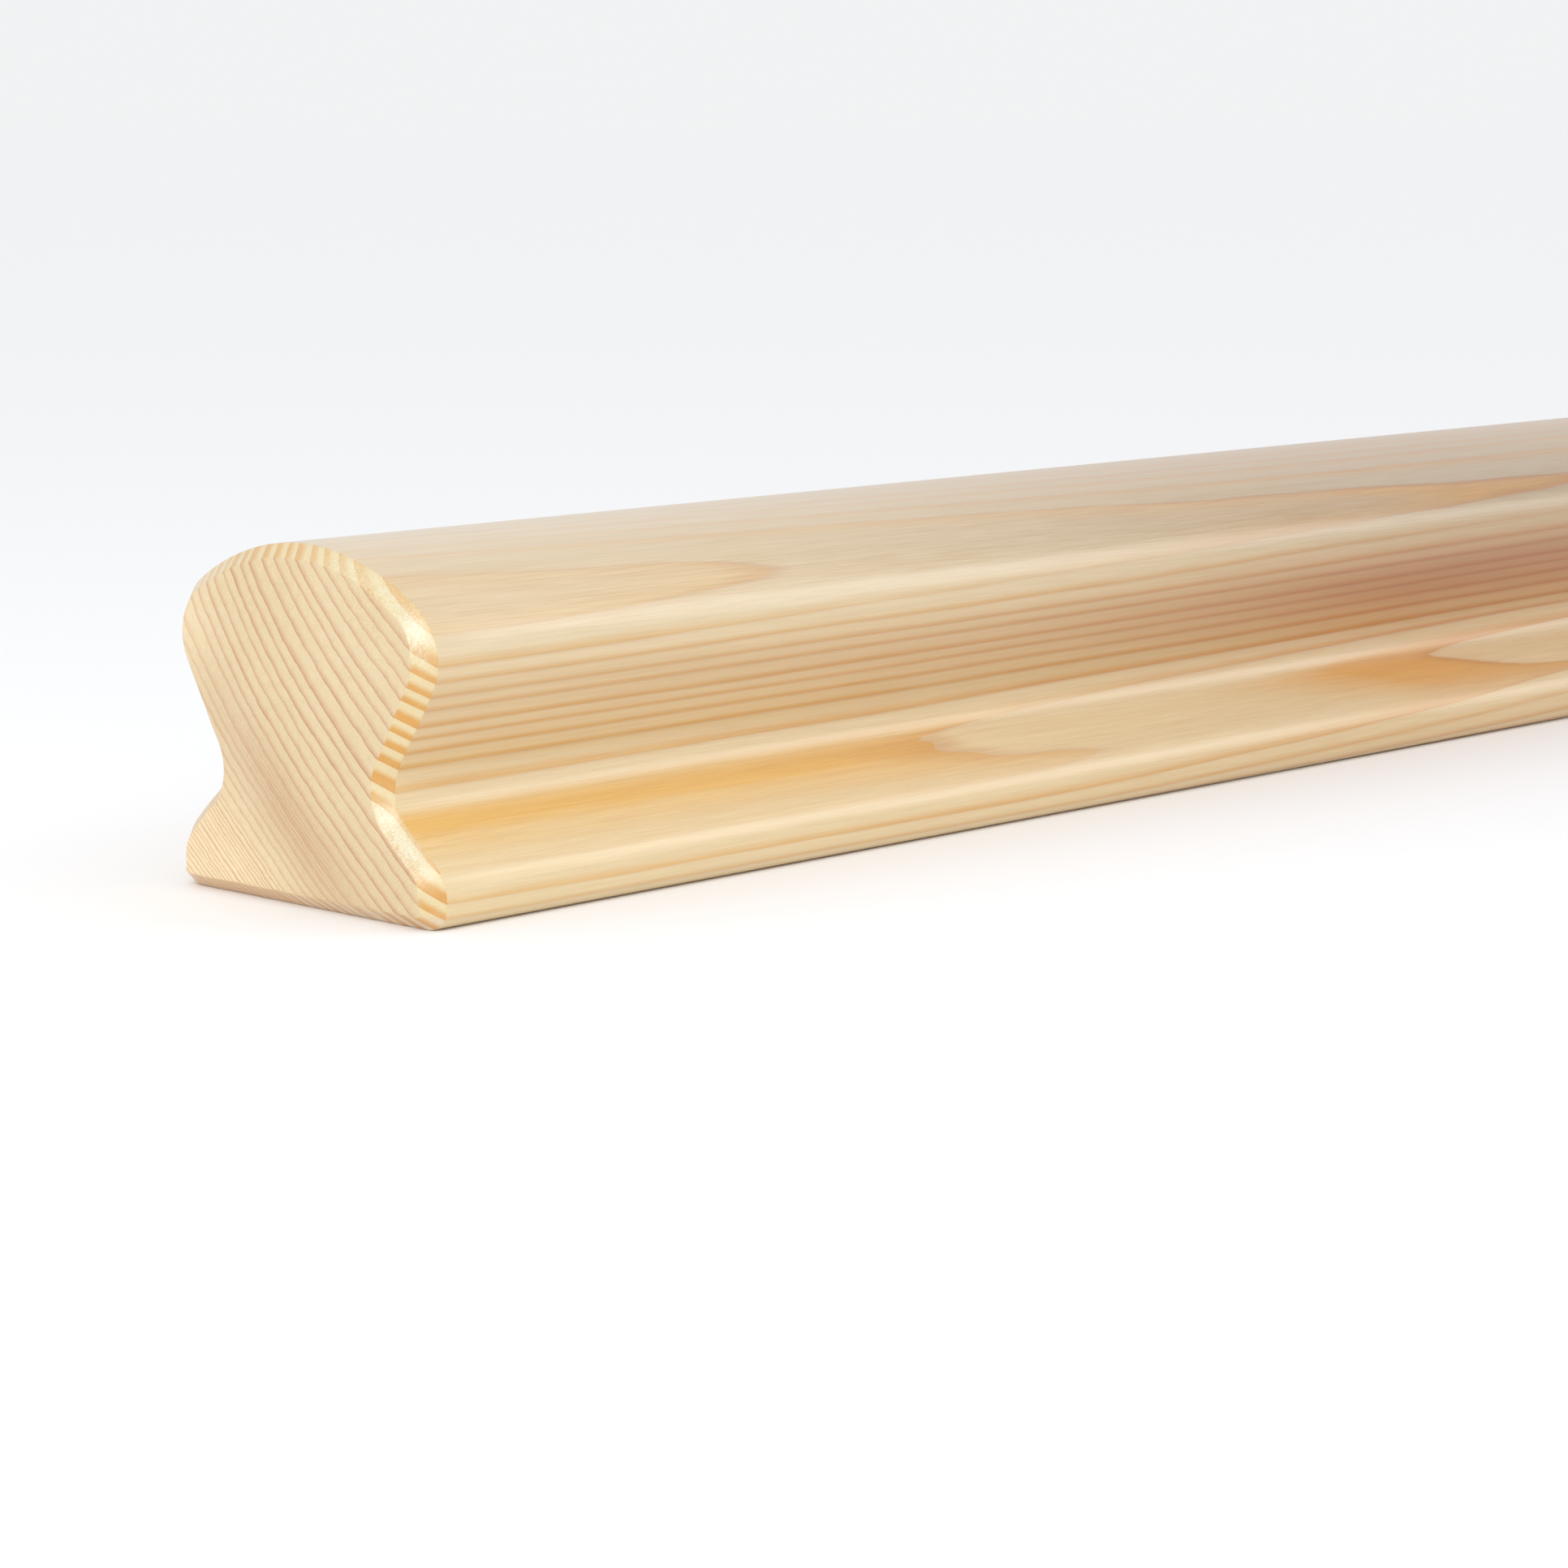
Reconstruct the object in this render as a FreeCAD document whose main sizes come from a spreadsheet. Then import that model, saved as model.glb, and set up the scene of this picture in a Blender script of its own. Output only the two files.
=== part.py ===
# Softwood stair handrail length: one planed and moulded piece of stock.
# The section is a broad low crown on a waisted neck, which flares through a cove to a flat foot.
# Every long edge of the section is an arc tangent to its neighbours, and both ends are chamfered all round.
# The rail lies along X on its foot, with the middle of its underside at the origin and +Z up.

import FreeCAD, Part
import math
import os
import Sketcher

doc = FreeCAD.newDocument("StairHandrail")

# Driving dimensions, in millimetres and degrees.
DRIVING = (
    ("rail_length", 1500, "length that such stock is sold in"),
    ("foot_width", 55.5, "width over the foot, the widest line of the rail"),
    ("foot_side", 1.2, "upright face between the foot's two roundings"),
    ("foot_radius", 6.6, "convex rounding from the foot's side into the cove"),
    ("cove_angle", 50.6, "lean of the cove's straight run from upright"),
    ("neck_depth", 9.75, "how far the neck lies in from the foot's side"),
    ("neck_radius", 5.5, "hollow of the neck"),
    ("flank_angle", 32.6, "lean of the flank from upright"),
    ("crown_overhang", 9, "how far the crown stands out beyond the neck"),
    ("shoulder_radius", 8.5, "rounding of the crown's sides"),
    ("crown_rise", 13.9, "height of the crown above its own widest line"),
    ("end_chamfer", 2.4, "chamfer round both ends, measured along each face"),
    ("corner_radius", 0.6, "rounding left at the flat end's lower corners"),
)

sizes = doc.addObject("Spreadsheet::Sheet", "Sizes")
for row, (alias, value, meaning) in enumerate(DRIVING, start=1):
    sizes.set(f"A{row}", meaning)
    sizes.set(f"B{row}", str(value))
    sizes.setAlias(f"B{row}", alias)
doc.recompute()


def size(alias):
    """Value of one of the sheet's cells, as a plain number."""
    return float(sizes.get(alias))


class HalfSection:
    """Centres and touching angles of the section's right half, worked out from the foot upwards.

    A straight run that leans from upright rises by its width divided by the tangent of the lean, and
    each arc ends where the run beside it touches it. The crown's arc goes through the top and holds
    the shoulder's arc inside it, touching it at one point."""

    def __init__(self):
        half_foot = size("foot_width") / 2
        self.cove = math.radians(size("cove_angle"))
        self.flank = math.radians(size("flank_angle"))
        # The lower rounding is the chamfer and what it leaves, so that the chamfer never eats it up.
        self.arris_radius = size("end_chamfer") + size("corner_radius")
        self.foot_radius = size("foot_radius")
        self.neck_radius = size("neck_radius")
        self.shoulder_radius = size("shoulder_radius")

        neck_x = half_foot - size("neck_depth") + self.neck_radius
        foot_x = half_foot - self.foot_radius
        foot_y = self.arris_radius + size("foot_side")
        neck_y = foot_y + self.rise(foot_x, self.foot_radius, neck_x, self.cove)
        shoulder_x = half_foot - size("neck_depth") + size("crown_overhang") - self.shoulder_radius
        shoulder_y = neck_y + self.rise(shoulder_x, self.shoulder_radius, neck_x, self.flank)
        self.arris_centre = FreeCAD.Vector(half_foot - self.arris_radius, self.arris_radius)
        self.foot_centre = FreeCAD.Vector(foot_x, foot_y)
        self.neck_centre = FreeCAD.Vector(neck_x, neck_y)
        self.shoulder_centre = FreeCAD.Vector(shoulder_x, shoulder_y)

        rise = size("crown_rise")
        spread = shoulder_x ** 2 + rise ** 2 - self.shoulder_radius ** 2
        self.crown_radius = spread / (2 * (rise - self.shoulder_radius))
        self.top = FreeCAD.Vector(0, shoulder_y + rise)
        self.crown_centre = self.top - FreeCAD.Vector(0, self.crown_radius)
        self.crown_touch = math.atan2(shoulder_y - self.crown_centre.y, shoulder_x)

    def rise(self, round_x, round_radius, neck_x, lean):
        """Height between the neck's centre and a convex arc's, with a straight run between the two."""
        radii = round_radius + self.neck_radius
        run_width = round_x - neck_x + radii * math.cos(lean)
        return radii * math.sin(lean) + run_width / math.tan(lean)


half = HalfSection()


def on_arc(centre, radius, angle):
    """Point of a circle at an angle."""
    return centre + FreeCAD.Vector(math.cos(angle), math.sin(angle)) * radius


def arc(centre, radius, start, end):
    """Arc from one angle to a larger one."""
    return Part.ArcOfCircle(Part.Circle(centre, FreeCAD.Vector(0, 0, 1), radius), start, end)


def mirrored(element):
    """The same arc or straight run on the other side of the upright axis."""
    if isinstance(element, Part.LineSegment):
        points = (element.StartPoint, element.EndPoint)
        return Part.LineSegment(*(FreeCAD.Vector(-point.x, point.y) for point in points))
    centre = FreeCAD.Vector(-element.Center.x, element.Center.y)
    return arc(centre, element.Radius, math.pi - element.LastParameter, math.pi - element.FirstParameter)


def right_side():
    """The right side's arcs and straight runs by name, from the underside up to the crown."""
    foot_top = on_arc(half.foot_centre, half.foot_radius, 0)
    foot_bottom = on_arc(half.arris_centre, half.arris_radius, 0)
    cove_low = on_arc(half.foot_centre, half.foot_radius, half.cove)
    cove_high = on_arc(half.neck_centre, half.neck_radius, math.pi + half.cove)
    flank_low = on_arc(half.neck_centre, half.neck_radius, math.pi - half.flank)
    flank_high = on_arc(half.shoulder_centre, half.shoulder_radius, -half.flank)
    return {
        "arris": arc(half.arris_centre, half.arris_radius, -math.pi / 2, 0),
        "side": Part.LineSegment(foot_bottom, foot_top),
        "foot": arc(half.foot_centre, half.foot_radius, 0, half.cove),
        "cove": Part.LineSegment(cove_low, cove_high),
        "neck": arc(half.neck_centre, half.neck_radius, math.pi - half.flank, math.pi + half.cove),
        "flank": Part.LineSegment(flank_low, flank_high),
        "shoulder": arc(half.shoulder_centre, half.shoulder_radius, -half.flank, half.crown_touch),
    }


# An arc always runs anticlockwise, so which of its ends is the lower one depends on its side.
START, END, CENTRE = range(1, 4)
RUNS = ("side", "cove", "flank")
ARCS = ("arris", "foot", "neck", "shoulder")
ORIGIN = (-1, START)
X_AXIS, Y_AXIS = range(-1, -3, -1)


def low_end(name, left):
    """The end of an element that is nearer the foot, on the left or the right side."""
    if name in RUNS:
        return START
    hollow = name == "neck"
    return END if hollow != left else START


def high_end(name, left):
    """The end of an element that is nearer the crown."""
    return START + END - low_end(name, left)


body = doc.addObject("PartDesign::Body", "Handrail")
body.Label = "handrail"
body.Placement = FreeCAD.Placement()
section_plane = next(plane for plane in body.Origin.OriginFeatures if plane.Role == "YZ_Plane")

sketch = body.newObject("Sketcher::SketchObject", "Section")
sketch.AttachmentSupport = [(section_plane, "")]
sketch.MapMode = "FlatFace"
sketch.setExpression("AttachmentOffset.Base.z", "-Sizes.rail_length / 2")


def constrain(kind, *elements):
    """Add one geometric constraint to the section."""
    return sketch.addConstraint(Sketcher.Constraint(kind, *elements))


def dimension(name, kind, elements, value, formula):
    """Add one dimension to the section at its present value and tie it to the sheet."""
    index = constrain(kind, *elements, value)
    sketch.renameConstraint(index, name)
    sketch.setExpression(f"Constraints.{name}", formula)


elements = right_side()
right = {name: sketch.addGeometry(element, False) for name, element in elements.items()}
left = {name: sketch.addGeometry(mirrored(element), False) for name, element in elements.items()}
crown_arc = arc(half.crown_centre, half.crown_radius, half.crown_touch, math.pi - half.crown_touch)
crown = sketch.addGeometry(crown_arc, False)
underside_end = FreeCAD.Vector(half.arris_centre.x, 0)
underside = sketch.addGeometry(Part.LineSegment(FreeCAD.Vector(-underside_end.x, 0), underside_end), False)
summit = sketch.addGeometry(Part.Point(half.top), True)

# The right side is one chain of tangents from the underside to the crown.
order = list(right)
constrain("PointOnObject", underside, END, X_AXIS)
constrain("Tangent", underside, END, right["arris"], low_end("arris", False))
for lower, upper in zip(order, order[1:]):
    constrain("Tangent", right[lower], high_end(lower, False), right[upper], low_end(upper, False))
constrain("Tangent", right["shoulder"], high_end("shoulder", False), crown, START)
constrain("Vertical", right["side"])

# The left side mirrors it: each corner lies opposite its twin, and the arcs have equal radii.
constrain("Coincident", underside, START, left["arris"], low_end("arris", True))
for lower, upper in zip(order, order[1:]):
    constrain("Coincident", left[lower], high_end(lower, True), left[upper], low_end(upper, True))
    constrain("Symmetric", left[lower], high_end(lower, True), right[lower], high_end(lower, False), Y_AXIS)
constrain("Coincident", left["shoulder"], high_end("shoulder", True), crown, END)
constrain("PointOnObject", crown, CENTRE, Y_AXIS)
constrain("Horizontal", crown, END, crown, START)
constrain("Symmetric", underside, START, underside, END, Y_AXIS)
for name in ARCS:
    constrain("Equal", right[name], left[name])

constrain("PointOnObject", summit, START, Y_AXIS)
constrain("PointOnObject", summit, START, crown)

dimension("arris_radius", "Radius", (right["arris"],), half.arris_radius, "Sizes.end_chamfer + Sizes.corner_radius")
for name in ("foot", "neck", "shoulder"):
    dimension(f"{name}_radius", "Radius", (right[name],), getattr(half, f"{name}_radius"), f"Sizes.{name}_radius")
dimension("half_foot", "DistanceX", (*ORIGIN, right["side"], START), size("foot_width") / 2, "Sizes.foot_width / 2")
dimension("foot_side", "DistanceY", (right["side"], START, right["side"], END), size("foot_side"), "Sizes.foot_side")
dimension("cove_lean", "Angle", (right["cove"],), math.pi / 2 + half.cove, "(90 + Sizes.cove_angle) * 1 deg")
dimension("flank_lean", "Angle", (right["flank"],), math.pi / 2 - half.flank, "(90 - Sizes.flank_angle) * 1 deg")
dimension(
    "neck_centre",
    "DistanceX",
    (*ORIGIN, right["neck"], CENTRE),
    half.neck_centre.x,
    "Sizes.foot_width / 2 - Sizes.neck_depth + Sizes.neck_radius",
)
dimension(
    "shoulder_centre",
    "DistanceX",
    (*ORIGIN, right["shoulder"], CENTRE),
    half.shoulder_centre.x,
    "Sizes.foot_width / 2 - Sizes.neck_depth + Sizes.crown_overhang - Sizes.shoulder_radius",
)
dimension(
    "crown_rise",
    "DistanceY",
    (right["shoulder"], CENTRE, summit, START),
    size("crown_rise"),
    "Sizes.crown_rise",
)
doc.recompute()

# The stock is the section carried straight along X.
stock = body.newObject("PartDesign::Pad", "Stock")
stock.Profile = sketch
stock.setExpression("Length", "Sizes.rail_length")
doc.recompute()

# Both sawn ends are chamfered along every edge of the section.
end_edges = [
    f"Edge{number}"
    for number, edge in enumerate(stock.Shape.Edges, start=1)
    if edge.BoundBox.XLength < size("end_chamfer") / 2
]
ends = body.newObject("PartDesign::Chamfer", "ChamferedEnds")
ends.Base = (stock, end_edges)
ends.setExpression("Size", "Sizes.end_chamfer")
body.Tip = ends
doc.recompute()

for item in doc.Objects:
    if {"Invalid", "Error"} & set(item.State):
        raise RuntimeError(f"{item.Name} failed: {item.State}")
if sketch.solve() != 0 or not sketch.FullyConstrained:
    raise RuntimeError("the section is not fully constrained")
if body.Shape.isNull() or not body.Shape.isValid() or len(body.Shape.Solids) != 1:
    raise RuntimeError("the handrail is not one valid solid")

box = body.Shape.BoundBox
print(f"handrail {box.XLength:.2f} x {box.YLength:.2f} x {box.ZLength:.2f} mm, {body.Shape.Volume / 1e3:.1f} cm3")

os.makedirs("parts", exist_ok=True)
body.Shape.exportStep(f"parts/{body.Label}.step")
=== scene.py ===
import math

import bpy
import numpy as np
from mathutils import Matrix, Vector


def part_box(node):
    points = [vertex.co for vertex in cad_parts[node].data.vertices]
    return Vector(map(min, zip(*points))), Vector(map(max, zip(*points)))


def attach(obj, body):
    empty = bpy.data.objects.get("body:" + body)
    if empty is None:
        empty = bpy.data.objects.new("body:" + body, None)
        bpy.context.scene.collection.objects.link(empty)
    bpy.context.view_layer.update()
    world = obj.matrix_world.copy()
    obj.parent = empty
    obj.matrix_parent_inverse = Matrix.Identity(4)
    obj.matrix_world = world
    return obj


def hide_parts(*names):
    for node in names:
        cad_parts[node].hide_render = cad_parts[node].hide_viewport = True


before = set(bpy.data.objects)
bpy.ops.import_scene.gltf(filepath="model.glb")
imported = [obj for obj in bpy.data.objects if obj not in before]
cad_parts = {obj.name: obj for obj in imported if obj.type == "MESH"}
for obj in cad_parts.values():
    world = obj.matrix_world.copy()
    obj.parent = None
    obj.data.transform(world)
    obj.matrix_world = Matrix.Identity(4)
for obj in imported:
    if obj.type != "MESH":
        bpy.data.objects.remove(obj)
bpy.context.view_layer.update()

# The handrail is one length of pine, planed square and then run through a moulder, which cuts the crown,
# the hollow neck, the coves and the foot in one pass. Both ends are sawn square and chamfered by hand,
# and the whole rail is sanded and left unstained. It lies loose on its flat foot.

MM = 0.001
rail_low, rail_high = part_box("handrail")
RAIL_LENGTH = (rail_high.x - rail_low.x) / MM
HALF_LENGTH = RAIL_LENGTH / 2
RAIL_HEIGHT = (rail_high.z - rail_low.z) / MM
HALF_FOOT = rail_high.y / MM

# Sizes of the section, in millimetres.
ARRIS_RADIUS = 3.0
FOOT_SIDE = 1.2
FOOT_RADIUS = 6.6
COVE_LEAN = math.radians(50.6)
NECK_DEPTH = 9.75
NECK_RADIUS = 5.5
FLANK_LEAN = math.radians(32.6)
CROWN_OVERHANG = 9.0
SHOULDER_RADIUS = 8.5

# Sizes of the hand-cut end chamfer, in millimetres.
CHAMFER_LEAST = 2.0
CHAMFER_EXTRA = 0.8
CHAMFER_WANDER = 0.09
EDGE_SOFTNESS = 0.22

# Where the knife tore the fibres of the chamfer: the place in the section, its reach and how far.
TORN_PLACES = (
    ((-26.3, 40.5), 4.5, 1.0),
    ((-18.0, 46.5), 6.0, 0.55),
    ((-23.3, 11.2), 4.8, 1.0),
    ((-9.0, 49.0), 6.0, 0.35),
    ((-19.2, 14.8), 2.4, 0.7),
    ((23.0, 42.0), 8.0, 0.3),
)

# Steps of the mesh: in an arc of the section, round the rail, over an end, round a softened edge, over the
# chamfer and along the body. A cap's rings spread from its middle and crowd towards the chamfer.
ARC_STEPS = 90
ROUND_STEPS = 300
CAP_STEPS = 14
BEVEL_STEPS = 4
CHAMFER_STEPS = 8
BODY_STEPS = 150
CAP_SPREAD = 0.8
CAP_MIDDLE_Z = RAIL_HEIGHT * 0.45


def climb(round_x, round_radius, neck_x, lean):
    """Height from the neck's centre to a round's centre, with a straight run between them.

    It is both radii times the sine of the run's lean, plus the run's width over the lean's tangent."""
    radii = round_radius + NECK_RADIUS
    return radii * math.sin(lean) + (round_x - neck_x + radii * math.cos(lean)) / math.tan(lean)


def section_outline(count):
    """Points and outward directions of the section, evenly spaced, anticlockwise from its lowest middle.

    The right half is a chain of arcs, each a centre plus its radius times the cosine and sine of an angle
    that runs between two ends; a straight run is the step from one arc to the next. The left half mirrors
    it, and the chain is then walked in equal steps of its own length. A direction is the walk's slope,
    turned right."""
    neck_x = HALF_FOOT - NECK_DEPTH + NECK_RADIUS
    foot_x = HALF_FOOT - FOOT_RADIUS
    foot_z = ARRIS_RADIUS + FOOT_SIDE
    neck_z = foot_z + climb(foot_x, FOOT_RADIUS, neck_x, COVE_LEAN)
    shoulder_x = HALF_FOOT - NECK_DEPTH + CROWN_OVERHANG - SHOULDER_RADIUS
    shoulder_z = neck_z + climb(shoulder_x, SHOULDER_RADIUS, neck_x, FLANK_LEAN)
    rise = RAIL_HEIGHT - shoulder_z
    crown_radius = (shoulder_x**2 + rise**2 - SHOULDER_RADIUS**2) / (2 * (rise - SHOULDER_RADIUS))
    crown_z = RAIL_HEIGHT - crown_radius
    crown_touch = math.atan2(shoulder_z - crown_z, shoulder_x)
    arcs = (
        ((HALF_FOOT - ARRIS_RADIUS, ARRIS_RADIUS), ARRIS_RADIUS, -math.pi / 2, 0),
        ((foot_x, foot_z), FOOT_RADIUS, 0, COVE_LEAN),
        ((neck_x, neck_z), NECK_RADIUS, math.pi + COVE_LEAN, math.pi - FLANK_LEAN),
        ((shoulder_x, shoulder_z), SHOULDER_RADIUS, -FLANK_LEAN, crown_touch),
        ((0, crown_z), crown_radius, crown_touch, math.pi / 2),
    )
    chain = [np.zeros((1, 2))]
    for centre, radius, start, end in arcs:
        angle = np.linspace(start, end, ARC_STEPS)
        chain.append(np.array(centre) + radius * np.column_stack((np.cos(angle), np.sin(angle))))
    right = np.vstack(chain)
    left = right[-2:0:-1] * (-1, 1)
    loop = np.vstack((right, left, right[:1]))
    walked = np.concatenate(([0], np.cumsum(np.hypot(*np.diff(loop, axis=0).T))))
    steps = np.linspace(0, walked[-1], count, endpoint=False)
    points = np.column_stack([np.interp(steps, walked, loop[:, axis]) for axis in (0, 1)])
    slope = np.roll(points, -1, axis=0) - np.roll(points, 1, axis=0)
    slope /= np.hypot(*slope.T)[:, None]
    return points, np.column_stack((slope[:, 1], -slope[:, 0]))


def chamfer_width(points, outward, seed):
    """Width of the hand-cut chamfer at each point of the outline, in millimetres.

    It is widest where the rail is broad and its face looks sideways, and it wanders by a sum of slow waves
    round the outline, whose phases come from the seed."""
    broad = np.abs(points[:, 0] / HALF_FOOT) ** 3 * np.abs(outward[:, 0])
    turn = np.linspace(0, 2 * np.pi, len(points), endpoint=False)
    waves = np.arange(3, 24, 2)
    phase = np.random.default_rng(seed).uniform(0, 2 * np.pi, len(waves))
    wander = (np.sin(np.outer(turn, waves) + phase) / np.sqrt(waves)).sum(axis=1)
    return CHAMFER_LEAST + CHAMFER_EXTRA * broad + CHAMFER_WANDER * wander


def rounded_corner(before, corner, after, share):
    """Points of the curve that softens a corner, from one leg to the other.

    It is the blend start * (1 - t)**2 + corner * 2t(1 - t) + end * t**2, where start and end lie a share
    of each leg away from the corner."""
    t = np.linspace(0, 1, BEVEL_STEPS)[:, None, None]
    start = corner + (before - corner) * share
    end = corner + (after - corner) * share
    return start * (1 - t) ** 2 + corner * 2 * t * (1 - t) + end * t**2


def end_rings(points, outward, seed):
    """Rings of one end, from near the cap's middle over the chamfer to the long side, as (depth, y, z).

    A point of the cap is its middle plus a growing share of the way to the chamfer. A point of the chamfer
    is the outline, moved in against its outward direction by what is left of the chamfer's width."""
    width = chamfer_width(points, outward, seed)[:, None]
    middle = np.array((0, 0, CAP_MIDDLE_Z))
    flat = np.zeros((len(points), 1))
    inner = np.hstack((flat, points - outward * width))
    outer = np.hstack((width, points))
    side = np.hstack((width * 2, points))
    share = (EDGE_SOFTNESS / width)[None]
    cap_share = EDGE_SOFTNESS / np.linalg.norm(inner - middle, axis=1)[None, :, None]
    first = rounded_corner(middle, inner, outer, np.maximum(cap_share, share * 0.5))
    second = rounded_corner(inner, outer, side, share)
    grow = np.linspace(0, 1, CAP_STEPS + 1)[1:, None, None] ** CAP_SPREAD
    cap = middle + (first[0] - middle) * grow
    across = np.linspace(0, 1, CHAMFER_STEPS + 1)[1:-1, None, None]
    slope = first[-1] + (second[0] - first[-1]) * across
    return np.concatenate((cap, first[1:], slope, second))


def rail_mesh():
    """The whole rail as a grid of rings, closed by one point in the middle of each end.

    Round the ring runs the section's outline, and along the rail the near end's rings, the straight body,
    whose points lie on lines between the two ends, and the far end's rings in reverse."""
    points, outward = section_outline(ROUND_STEPS)
    near = end_rings(points, outward, seed=4)
    far = end_rings(points, outward, seed=9)[::-1]
    near = near - (HALF_LENGTH, 0, 0)
    far = far * (-1, 1, 1) + (HALF_LENGTH, 0, 0)
    along = np.linspace(0, 1, BODY_STEPS + 1)[1:-1, None, None]
    body = near[-1] + (far[0] - near[-1]) * along
    rings = np.concatenate((near, body, far))
    ring_count = len(rings)
    middles = np.array(((-HALF_LENGTH, 0, CAP_MIDDLE_Z), (HALF_LENGTH, 0, CAP_MIDDLE_Z)))
    vertices = np.vstack((rings.reshape(-1, 3), middles)) * MM

    here = np.arange(ROUND_STEPS)
    beside = np.roll(here, -1)
    ring = np.arange(ring_count - 1)[:, None] * ROUND_STEPS
    next_ring = ring + ROUND_STEPS
    quads = np.stack((ring + here, ring + beside, next_ring + beside, next_ring + here), -1)
    last = (ring_count - 1) * ROUND_STEPS
    first_pole = np.full(ROUND_STEPS, ring_count * ROUND_STEPS)
    near_fan = np.column_stack((first_pole, beside, here))
    far_fan = np.column_stack((last + here, last + beside, first_pole + 1))

    mesh = bpy.data.meshes.new("handrail_wood")
    faces = quads.reshape(-1, 4).tolist() + near_fan.tolist() + far_fan.tolist()
    mesh.from_pydata(vertices.tolist(), [], faces)

    # Which cut each face shows: 0 is the moulded long side, 1 the chamfer and 2 the sawn end.
    end_count = CAP_STEPS + BEVEL_STEPS // 2
    chamfer_count = len(near) - BEVEL_STEPS // 2
    cut_of_ring = np.zeros(ring_count - 1)
    cut_of_ring[:chamfer_count] = 1
    cut_of_ring[:end_count] = 2
    cut_of_ring[-chamfer_count:] = 1
    cut_of_ring[-end_count:] = 2
    cut = np.concatenate((np.repeat(cut_of_ring, ROUND_STEPS), np.full(2 * ROUND_STEPS, 2)))
    mesh.attributes.new("cut", "FLOAT", "FACE").data.foreach_set("value", cut.astype(np.float32))

    # How far the knife tore the fibres at each point: most on the front's shoulder and cove.
    torn = sum(
        share * np.exp(-np.sum(((points - place) / reach) ** 2, axis=1))
        for place, reach, share in TORN_PLACES
    )
    torn = np.concatenate((np.tile(torn, ring_count), (0, 0)))
    mesh.attributes.new("torn", "FLOAT", "POINT").data.foreach_set("value", torn.astype(np.float32))
    mesh.polygons.foreach_set("use_smooth", np.ones(len(mesh.polygons), bool))
    mesh.update()
    return mesh


class Grain:
    """Something that changes through the wood: one output socket, with its sums written as expressions."""

    def __init__(self, tree, socket=None):
        self.tree = tree
        self.socket = socket

    def node(self, kind, settings=None, inputs=None, output=0):
        """Add a node: its settings first, then a value or a link for each named or numbered input."""
        added = self.tree.nodes.new("ShaderNode" + kind)
        for name, value in (settings or {}).items():
            if name == "knots":
                curve = added.mapping.curves[0]
                while len(curve.points) < len(value):
                    curve.points.new(1, 1)
                for knot, place in zip(curve.points, value):
                    knot.location = place
                    knot.handle_type = "VECTOR"
                added.mapping.update()
            else:
                setattr(added, name, value)
        for place, source in (inputs or {}).items():
            if isinstance(source, Grain):
                self.tree.links.new(source.socket, added.inputs[place])
            else:
                added.inputs[place].default_value = source
        return Grain(self.tree, added.outputs[output])

    def math(self, operation, *others):
        """One Math node's result, with this as its first value."""
        return self.node("Math", {"operation": operation}, dict(enumerate((self, *others))))

    def __add__(self, other):
        return self.math("ADD", other)

    __radd__ = __add__

    def __sub__(self, other):
        return self.math("SUBTRACT", other)

    def __rsub__(self, other):
        return self.node("Math", {"operation": "SUBTRACT"}, {0: other, 1: self})

    def __mul__(self, other):
        return self.math("MULTIPLY", other)

    __rmul__ = __mul__

    def __truediv__(self, other):
        return self.math("DIVIDE", other)

    def __pow__(self, power):
        return self.math("POWER", power)

    def smooth(self, low, high):
        """0 below low, 1 above high, and a smooth step between them."""
        settings = {"interpolation_type": "SMOOTHSTEP"}
        return self.node("MapRange", settings, {"Value": self, "From Min": low, "From Max": high})

    def mix(self, first, second):
        """The colour that is the first where this is 0 and the second where it is 1."""
        return self.node("Mix", {"data_type": "RGBA"}, {0: self, 6: first, 7: second}, 2)

    def stain(self, amount, tint):
        """This colour multiplied by a tint, as far as the amount goes."""
        settings = {"data_type": "RGBA", "blend_type": "MULTIPLY"}
        return self.node("Mix", settings, {0: amount, 6: self, 7: tint}, 2)


def colour(red, green, blue):
    """A colour as the eye reads it on a chart, from 0 to 255, turned into an amount of light."""
    shares = np.array((red, green, blue)) / 255
    light = np.where(shares < 0.04045, shares / 12.92, ((shares + 0.055) / 1.055) ** 2.4)
    return (*light.tolist(), 1)


# The log that the rail was cut from, in millimetres. Its heart lay up and out past the front of the crown,
# and its years' growth is given from the heart's side outwards, as it can be counted on the sawn end.
HEART_Y, HEART_Z = -95.4, 118.1
MIDDLE_Z = 25.0
FIRST_YEAR = -27.5
YEAR_GROWTH = (
    2.5, 1.8, 2.1, 2.0, 2.7, 1.9, 2.3, 2.5, 3.1, 1.9, 2.4, 1.8,
    2.2, 2.1, 2.0, 1.8, 2.7, 1.6, 1.3, 1.7, 1.3, 1.6, 1.7,
)
YEAR_DARKNESS = (
    0.75, 0.65, 0.6, 0.65, 0.8, 0.7, 0.72, 0.8, 0.95, 0.8, 1.0, 0.6,
    0.62, 0.92, 0.7, 0.55, 0.5, 0.4, 0.6, 0.55, 0.6, 0.5, 0.5,
)
INNER_GROWTH = (2.3, 2.6, 2.0, 2.4, 2.8, 2.2)
INNER_DARKNESS = 0.6
OUTER_GROWTH = (0.45, 1.1)
OUTER_DARKNESS = (0.5, 1.25)
OUTER_YEARS = 46

# How the years' circles depart from true ones: bent in steps of REACH from the section's middle, shifted
# sideways along the rail, and leaning one way and the other along it, each over its own length.
REACH = 25.0
RING_BEND = 0.655
RING_PINCH = 2.27
RING_TWIST = 1.39
SHIFT_LENGTH, SHIFT = 190, 3.92
LEAN_LENGTH, LEAN = 98, 1.86


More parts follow.
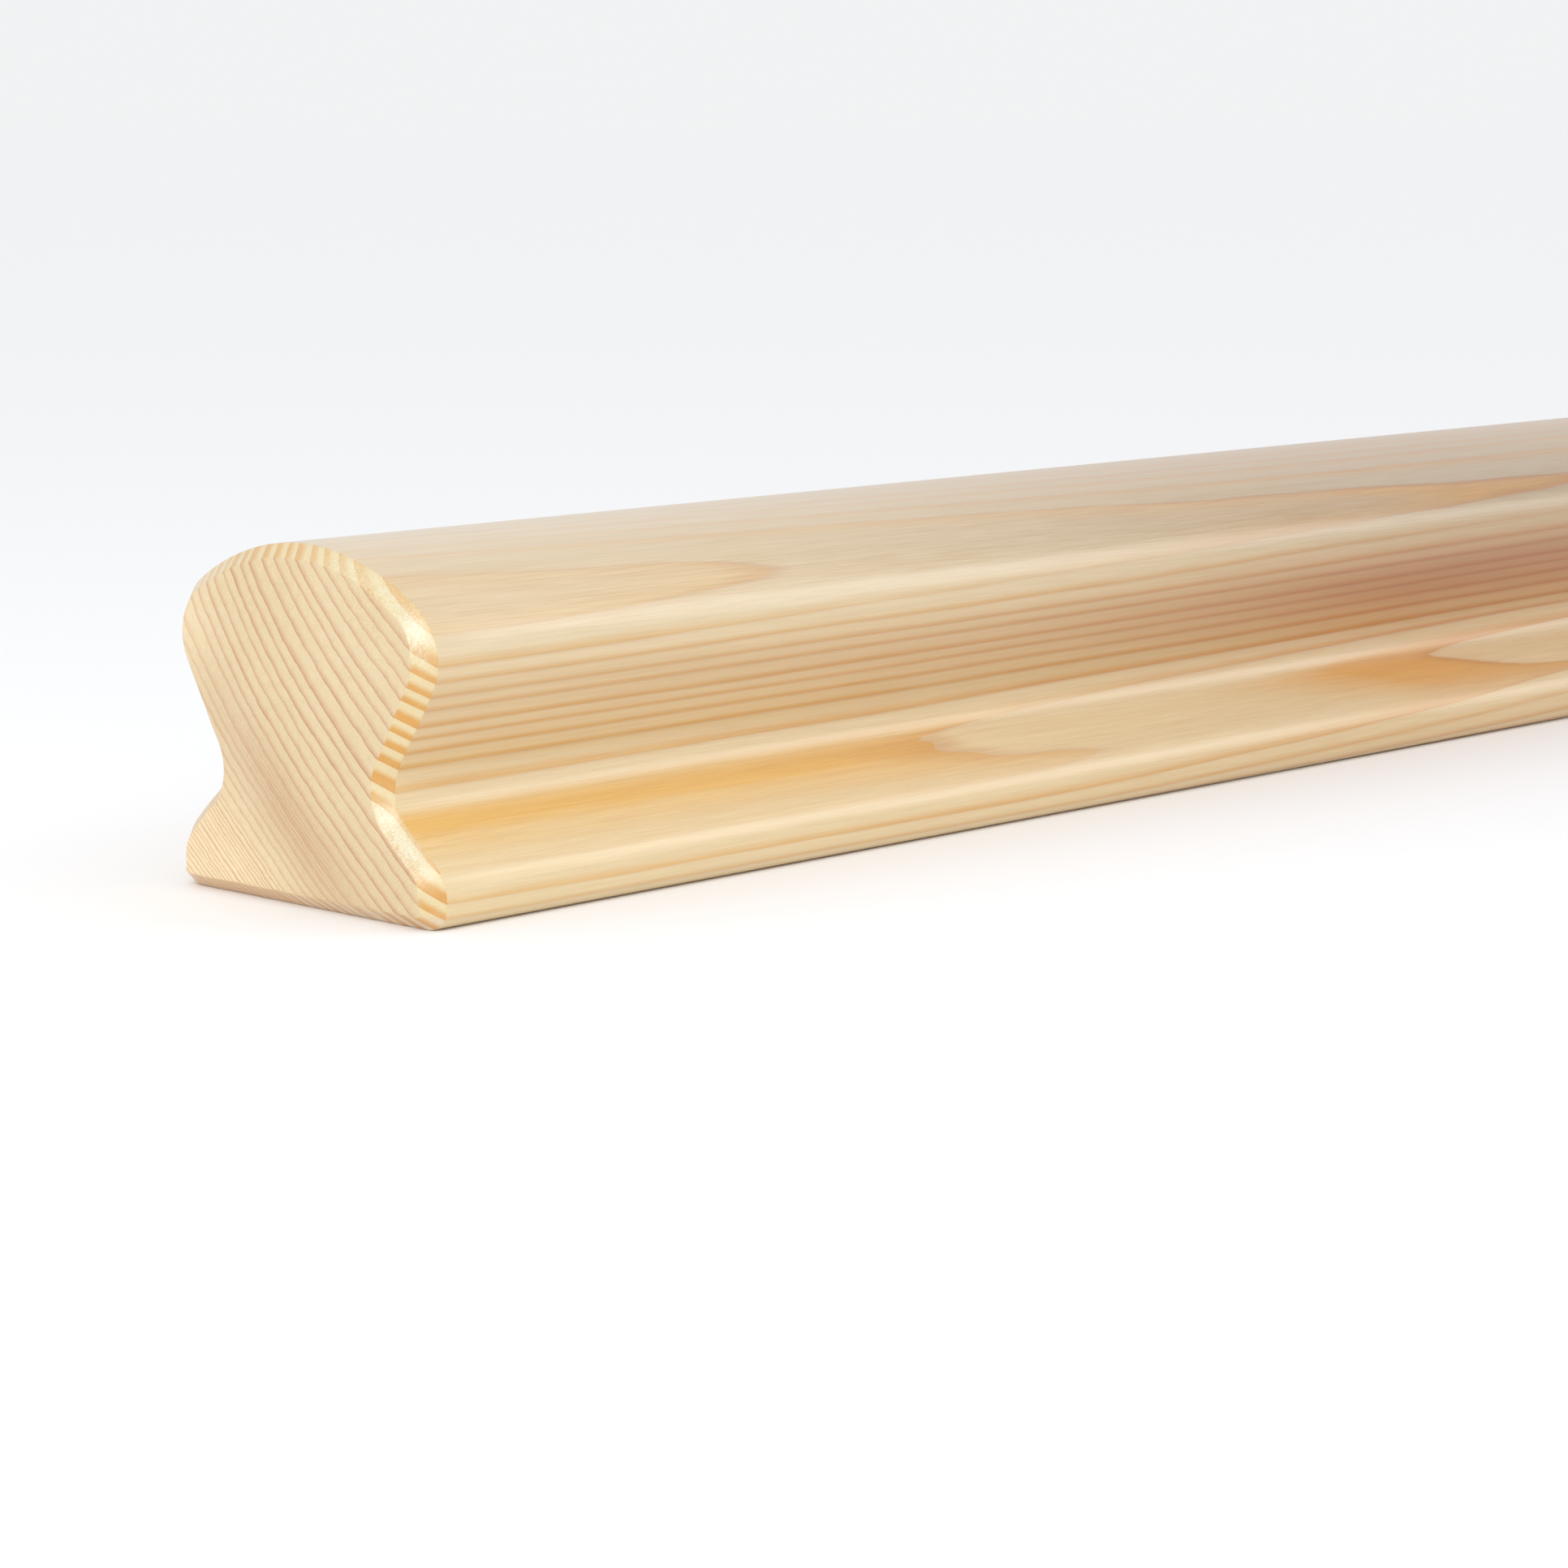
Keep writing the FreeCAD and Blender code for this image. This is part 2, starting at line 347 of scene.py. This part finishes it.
def softwood():
    """Pine, cut lengthwise on the sides and across at the ends, from one solid log.

    The distance of a point from the log's heart gives its year, and how far it is through that year's growth
    gives its colour: pale early wood that turns amber, ends in a thin brown line and starts pale again."""
    material = bpy.data.materials.new("planed_softwood")
    material.use_nodes = True
    tree = material.node_tree
    tree.nodes.clear()
    wood = Grain(tree)

    place = wood.node("TexCoord", output="Object")
    split = wood.node("SeparateXYZ", inputs={0: place}).socket.node
    x, y, z = (Grain(tree, split.outputs[axis]) * (1 / MM) for axis in range(3))
    along = x + HALF_LENGTH
    cut = wood.node("Attribute", {"attribute_name": "cut"}, output="Fac")
    torn = wood.node("Attribute", {"attribute_name": "torn"}, output="Fac")
    on_end = cut.math("GREATER_THAN", 1.5)
    on_chamfer = cut.math("GREATER_THAN", 0.5) - on_end

    def cloud(x_size, cross_size, detail=2.0, shift=0.0):
        """Soft noise from 0 to 1, with blotches of one length along the rail and another across it."""
        spread = {"X": x / x_size + shift, "Y": y / cross_size, "Z": z / cross_size}
        where = wood.node("CombineXYZ", inputs=spread)
        inputs = {"Vector": where, "Scale": 1.0, "Detail": detail, "Roughness": 0.55}
        return wood.node("TexNoise", inputs=inputs)

    def patch(centre_y, centre_z, reach):
        """1 at a place in the section, fading to 0 with distance as exp(-(distance / reach)**2)."""
        away = (y - centre_y) * (y - centre_y) + (z - centre_z) * (z - centre_z)
        return (away * (-1 / reach**2)).math("EXPONENT")

    # How red and dark the wood is along the rail: it deepens from the near end, fades, and comes back in part.
    # The darkening that comes with it is partly painted shade, for the light falling off away from the near
    # end.
    fading = along.smooth(300.0, 720.0) * 0.6
    returning = along.smooth(850.0, 1400.0) * 0.35
    redder_and_painted_shade = along.smooth(0.0, 260.0) * (1 - fading + returning)

    # Distance from the heart, less that of the section's middle. The circles are bent a little and slide
    # sideways along the rail, as they do in a slightly swept log.
    from_heart_y = y - HEART_Y
    from_heart_z = z - HEART_Z
    distance = (from_heart_y * from_heart_y + from_heart_z * from_heart_z) ** 0.5
    own_distance = math.hypot(HEART_Y, MIDDLE_Z - HEART_Z)
    own_angle = math.atan2(MIDDLE_Z - HEART_Z, -HEART_Y)
    turned = (from_heart_z.math("ARCTAN2", from_heart_y) - own_angle) * (own_distance / REACH)
    outward = (distance - own_distance) / REACH
    pinch = turned * outward * outward * (turned * RING_TWIST + RING_PINCH)
    bend = turned * turned * turned * RING_BEND - pinch
    lean = turned * (along / LEAN_LENGTH).math("SINE") * LEAN
    sweep = (along / SHIFT_LENGTH).math("SINE") * SHIFT + lean

    def knob(far_along, spread, place_in_section):
        """A patch that also fades along the rail, with the distance from one place, over a spread."""
        away = (along - far_along) * (1 / spread)
        return (away * away * -1.0).math("EXPONENT") * patch(*place_in_section)

    # Small departures that shape the flames: two tips are blunt, the years sway near the neck and the crown,
    # and a ripple runs through all of them, but not over the first flame's tip in the cove.
    blunt = knob(50, 26, (-20.3, 44.9, 3.2)) * -0.32 + knob(276, 20, (-25.0, 9.6, 2.4)) * -0.45
    near_neck = patch(-19.3, 14.4, 3.2) * (along / 62).math("SINE") * -0.21
    near_crown = patch(-23.5, 43.0, 6.0) * (redder_and_painted_shade * -0.28 + 0.3)
    sway = blunt + near_neck + near_crown
    past_tip = 1 - knob(102, 24, (-20.8, 13.2, 4.5))
    past_cove = 1 - patch(-22.0, 12.5, 6.0)
    coarse = (cloud(30, 3.2, shift=7) - 0.5) * (on_end * 0.4 + past_tip * 0.15)
    ripple = coarse + (cloud(14, 1.1, shift=13) - 0.5) * (on_end * 0.22 + past_cove * 0.03)
    wave = (cloud(70, 11) - 0.5) * 0.6 + ripple
    depth = distance - own_distance + bend + sweep + sway + wave

    # Years counted outwards: a curve through the end of each year's growth.
    fine = np.random.default_rng(12)
    outer_growth = fine.uniform(*OUTER_GROWTH, OUTER_YEARS).tolist()
    outer_darkness = fine.uniform(*OUTER_DARKNESS, OUTER_YEARS).tolist()
    growth = (*INNER_GROWTH, *YEAR_GROWTH, *outer_growth)
    darkness = (*[INNER_DARKNESS] * len(INNER_GROWTH), *YEAR_DARKNESS, *outer_darkness)
    ends = FIRST_YEAR - sum(INNER_GROWTH) + np.concatenate(([0], np.cumsum(growth)))
    span = float(ends[-1] - ends[0])
    count = len(growth)
    ages = [(float(end - ends[0]) / span, year / count) for year, end in enumerate(ends)]
    age = wood.node("FloatCurve", {"knots": ages}, {1: (depth - float(ends[0])) / span}) * count
    year = age.math("FLOOR")
    through = age - year
    shades = [((index + 0.5) / count, dark) for index, dark in enumerate(darkness)]
    patchy = cloud(60, 5, shift=21) * 0.7 + cloud(13, 1.2, shift=25) * 0.5
    strength = wood.node("FloatCurve", {"knots": shades}, {1: (year + 0.5) / count}) * (patchy * 1.1 + 0.4)

    def growing(start, power):
        """Share of late wood: from the start of its growth it rises by a power to 1 at the year's end."""
        return (through.smooth(start, 1.0) ** power) * strength

    def line(width):
        """The brown line at the year's end: it swells up to it and is gone early in the next year."""
        swell = through.smooth(1.0 - width * 2.2, 1.0)
        return swell.math("MAXIMUM", 1 - through.smooth(0.0, width)) * strength

    fibre = cloud(11, 0.22, detail=3.0)
    strand = cloud(60, 0.9, detail=2.0, shift=5)
    blotch = cloud(150, 14, shift=3)

    # Long sides: the crown's lines are faint, partly as painted sheen that washes them out, and the flank is
    # redder and darker further along, partly as painted shade.
    crown = z.smooth(36.0, 43.0)
    # How strongly the lines show: 1 is in full, and less on the crown, the foot, the shoulder and the top. On
    # the crown and along the shoulder the fading is partly painted sheen.
    on_crown = 1 - crown * (0.64 - redder_and_painted_shade * 0.44)
    on_foot = 1 - patch(-26.8, 7.6, 4.4) * (0.85 - redder_and_painted_shade * 0.4)
    # Along the shoulder's widest line the lines fade: in part a painted highlight of the light's sheen there.
    on_shoulder = 1 - patch(-26.6, 38.5, 2.6) * 0.7
    on_top = 1 - z.smooth(45.0, 48.0) * 0.15
    faint = on_crown * on_foot * on_shoulder * on_top
    in_cove = patch(-20.0, 13.6, 4.4).math("MAXIMUM", patch(-22.5, 11.5, 6.0) * redder_and_painted_shade)
    in_crown = patch(-23.0, 44.0, 7.0)
    crown_flame = through.smooth(0.6, 0.97) * in_crown * (redder_and_painted_shade**6 * 1.3 + 0.5)
    flame = (through.smooth(0.4, 0.85) ** 1.2) * in_cove * 1.4 + crown_flame
    amber = (flame * strength).math("MAXIMUM", growing(0.42, 1.5) * 0.95).math("MINIMUM", 1.0)
    # At the neck the amber and the lines fade out: partly the year's pale start, partly a painted highlight
    # where the light's sheen lies along the hollow.
    in_neck = patch(-18.4, 16.2, 1.7) * (1 - redder_and_painted_shade * 0.6)
    amber = amber * (1 - in_neck * 0.8)
    pale = crown.mix(colour(222, 199, 155), redder_and_painted_shade.mix(colour(214, 192, 158), colour(196, 176, 147)))
    side = (amber * faint).mix(pale, redder_and_painted_shade.mix(colour(224, 179, 99), colour(219, 161, 66)))
    broad = patch(-22.5, 11.5, 7.0).math("MAXIMUM", in_crown)
    edge = line(0.2) * (1 - broad) + line(0.04) * (broad + in_crown * 1.2)
    edge = edge * (1 - in_neck)
    side = (edge * faint * (redder_and_painted_shade * 0.06 + 0.38)).mix(side, colour(184, 122, 66))
    # The flank is stained darker and redder, more so further along: partly its own red tone, partly painted
    # shade for the light falling off away from the near end.
    flank = patch(-23.1, 28.3, 9.3) * (redder_and_painted_shade * redder_and_painted_shade * 0.82 + 0.26)
    side = side.stain(flank, (0.67, 0.40, 0.25, 1))
    side = side.stain(patch(-24.0, 41.0, 10.0) * redder_and_painted_shade * redder_and_painted_shade, (0.88, 0.94, 1.0, 1))
    side = side.stain(patch(-20.0, 44.5, 8.0) * (1 - redder_and_painted_shade), (0.98, 0.96, 0.88, 1))
    # A bluish-white tint along the shoulder's widest line: painted highlight of the light's sheen.
    side = side.stain(patch(-26.7, 37.5, 3.4), (0.97, 1.02, 1.13, 1))

    # Sawn ends: paler towards the outside of the log, with a rosy streak of fine lines along a few years.
    end = growing(0.35, 1.9).mix(colour(216, 194, 153), colour(199, 157, 114))
    end = (line(0.05) * 0.5).mix(end, colour(168, 108, 70))
    streak = (depth - 9.8) / 4.2
    hairs = (depth * 10.5).math("SINE") * 0.3 + 0.7
    rosy = (streak * streak * -1.0).math("EXPONENT") * patch(2.0, 12.5, 18.0) * hairs
    end = (rosy * 0.74).mix(end, colour(190, 145, 107))
    outer = (depth.smooth(12.0, 26.0) * 0.8).math("MAXIMUM", patch(27.0, 38.0, 8.0) * 0.58)
    end = end.stain(outer, (1.27, 1.31, 1.36, 1))

    # Chamfer: amber late wood against pale early wood, whitish where the fibres are torn, which is most
    # beside the sawn end, and greyer and darker in rough spots under the rail, partly painted shade of the
    # underside.
    worn = crown * y.smooth(-22.0, -12.0)
    late = (through.smooth(0.28, 0.8) * strength * 1.45).math("MINIMUM", 1.0)
    band = late * (1 - worn * 0.3) * (1 - torn.math("MINIMUM", 1.0) * 0.55)
    chamfer = band.mix(colour(220, 200, 153), colour(209, 153, 70))
    chamfer = (line(0.05) * 0.25).mix(chamfer, colour(188, 124, 58))
    tuft = cloud(0.7, 0.35, detail=4.0, shift=11)
    inner = 1 - (HALF_LENGTH - x.math("ABSOLUTE")).smooth(1.2, 2.3) * 0.75
    whitish = torn * inner * (1 - band * 0.45) * (tuft.smooth(0.38, 0.58) * 0.75 + 0.2)
    chamfer = whitish.mix(chamfer, colour(224, 219, 192))
    # Under the rail: greyer, and darker in rough spots, partly painted shade of the underside.
    under = 1 - z.smooth(1.0, 2.6)
    chamfer = chamfer.stain(under, (1.05, 1.08, 1.38, 1)).stain(under * tuft, (0.85, 0.8, 0.8, 1))

    # All of it is a little lighter and darker by fibre, strand, blotch and pore, most in blue, least in red,
    # and darker further along the rail, which is painted shade for the light falling off away from the near
    # end.
    face = on_end.mix(on_chamfer.mix(side, chamfer), end)
    pores = (cloud(0.5, 0.3, detail=2.0, shift=17) - 0.5) * on_end * 0.16
    uneven = (fibre - 0.5) * (0.26 + (crown + broad) * 0.18) + (strand - 0.5) * 0.16
    tint = uneven + (blotch - 0.5) * 0.14 + pores + 1.0 - redder_and_painted_shade * (crown * 0.1 - in_cove * 0.04 + 0.16)
    swing = tint - 1.0
    shade = wood.node("CombineXYZ", inputs={"X": swing * 0.6 + 1.0, "Y": tint, "Z": swing * 1.5 + 1.0})
    face = face.stain(1.0, shade)

    relief = fibre * 0.6 + growing(0.5, 1.0) * 0.4 + tuft * (torn + under * on_chamfer)
    bump = wood.node("Bump", inputs={"Strength": 0.3, "Distance": 0.00008, "Height": relief})
    roughness = on_end * 0.3 + 0.42 + (fibre - 0.5) * 0.12

    surface = tree.nodes.new("ShaderNodeBsdfPrincipled")
    surface.inputs["IOR"].default_value = 1.5
    surface.inputs["Coat Weight"].default_value = 0.8
    surface.inputs["Coat Roughness"].default_value = 0.28
    tree.links.new(face.socket, surface.inputs["Base Color"])
    tree.links.new(roughness.socket, surface.inputs["Roughness"])
    tree.links.new(bump.socket, surface.inputs["Normal"])
    output = tree.nodes.new("ShaderNodeOutputMaterial")
    tree.links.new(surface.outputs[0], output.inputs["Surface"])
    return material


rail = bpy.data.objects.new("handrail_length", rail_mesh())
rail.data.materials.append(softwood())
bpy.context.scene.collection.objects.link(rail)
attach(rail, "root")
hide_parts("handrail")

# The studio: a plain pale floor that runs far out, a white surround, a soft light over the near end, and a
# weak broad sun from the front towards the far end, whose sheen lies along the hollows.

FLOOR_HALF = 60.0
floor_corners = [(FLOOR_HALF * side, FLOOR_HALF * end, 0) for side, end in ((-1, -1), (1, -1), (1, 1), (-1, 1))]
floor_mesh = bpy.data.meshes.new("studio_floor")
floor_mesh.from_pydata(floor_corners, [], [(0, 1, 2, 3)])
floor = bpy.data.objects.new("studio_floor", floor_mesh)
bpy.context.scene.collection.objects.link(floor)
floor_paint = bpy.data.materials.new("floor_paint")
floor_paint.use_nodes = True
floor_shader = floor_paint.node_tree.nodes["Principled BSDF"]
floor_shader.inputs["Base Color"].default_value = (0.955, 0.96, 0.97, 1)
floor_shader.inputs["Roughness"].default_value = 0.95
floor_shader.inputs["Specular IOR Level"].default_value = 0.0
floor_mesh.materials.append(floor_paint)

world = bpy.data.worlds.new("studio")
world.use_nodes = True
world.node_tree.nodes["Background"].inputs["Color"].default_value = (0.985, 0.99, 1.0, 1)
world.node_tree.nodes["Background"].inputs["Strength"].default_value = 0.9
bpy.context.scene.world = world

near_softbox = bpy.data.lights.new("near_softbox", "AREA")
near_softbox.size = 0.45
near_softbox.energy = 2.2
near_lamp = bpy.data.objects.new("near_softbox", near_softbox)
near_lamp.location = (-1.27, -0.36, 0.44)
NEAR_AIM = (-0.72, 0.0, 0.02)
near_lamp.rotation_euler = (near_lamp.location - Vector(NEAR_AIM)).to_track_quat("Z", "Y").to_euler()
bpy.context.scene.collection.objects.link(near_lamp)

window_light = bpy.data.lights.new("window_light", "SUN")
window_light.angle = math.radians(20)
window_light.energy = 0.3
window_lamp = bpy.data.objects.new("window_light", window_light)
WINDOW_SIDE = (0.73, -0.57, 0.38)
window_lamp.rotation_euler = Vector(WINDOW_SIDE).to_track_quat("Z", "Y").to_euler()
bpy.context.scene.collection.objects.link(window_lamp)

PHOTO_SIDE = 1932
FOCAL_PIXELS = 5050
SENSOR = 36.0
camera_data = bpy.data.cameras.new("camera")
camera_data.sensor_width = SENSOR
camera_data.lens = SENSOR * FOCAL_PIXELS / PHOTO_SIDE
camera = bpy.data.objects.new("camera", camera_data)
CAMERA_PLACE = (-346.4, -432.7, 105.5)
CAMERA_TURN = (80.850, 0.355, -45.618)
camera.location = (rail_low.x + CAMERA_PLACE[0] * MM, CAMERA_PLACE[1] * MM, CAMERA_PLACE[2] * MM)
camera.rotation_euler = [math.radians(turn) for turn in CAMERA_TURN]
bpy.context.scene.collection.objects.link(camera)
bpy.context.scene.camera = camera
bpy.context.scene.view_settings.view_transform = "Standard"
